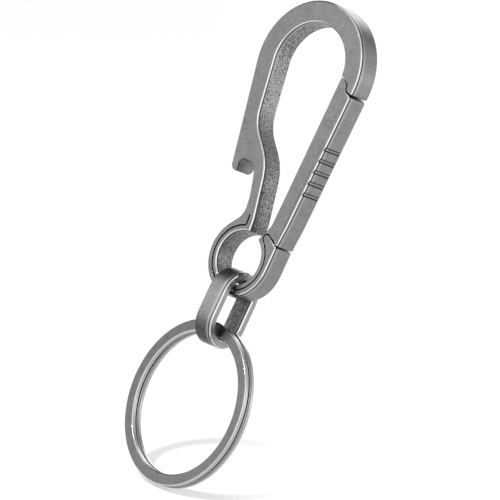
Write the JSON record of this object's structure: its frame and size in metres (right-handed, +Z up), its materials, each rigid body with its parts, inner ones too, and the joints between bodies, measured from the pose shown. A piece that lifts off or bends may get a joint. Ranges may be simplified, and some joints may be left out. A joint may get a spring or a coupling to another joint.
{
  "type": "key carabiner",
  "caption": "Flat titanium key carabiner with a one-piece spring gate, opener claw, oval link and split ring.",
  "frame": {"origin": "middle of the inside of the hook, where the carabiner hangs on a belt loop, strap or bar", "axes": "+Z up along the hanging length, +Y through the plate from front to back, +X across the plate towards the gate"},
  "size_m": [0.032, 0.0105, 0.095],
  "materials": {
    "plate": "satin, bead-blasted grey titanium with bright broken edges",
    "link": "satin, tumbled grey titanium",
    "ring": "satin, fine ground grey titanium"
  },
  "bodies": {
    "frame": {"frame": "plate", "flexure_spring": "plate"},
    "gate": {"gate": "plate"},
    "link": {"link": "link"},
    "key_ring": {"key_ring": "ring"}
  },
  "joints": [
    {"name": "gate_hinge", "type": "hinge", "parent": "frame", "child": "gate", "pos_m": [0, 0, -0.0462], "axis": [0, -1, 0], "range_deg": [0, 22], "stiffness_Nm_per_rad": 1.1, "deforming": ["flexure_spring"]},
    {"name": "link_swing", "type": "hinge", "parent": "frame", "child": "link", "pos_m": [0, 0, -0.0462], "axis": [0, 1, 0], "range_deg": [-90, 88]},
    {"name": "ring_fold", "type": "hinge", "parent": "link", "child": "key_ring", "pos_m": [-0.00034, -0.00048, -0.0583], "axis": [0.9906, -0.134, -0.0277], "range_deg": [-110, 110]}
  ]
}
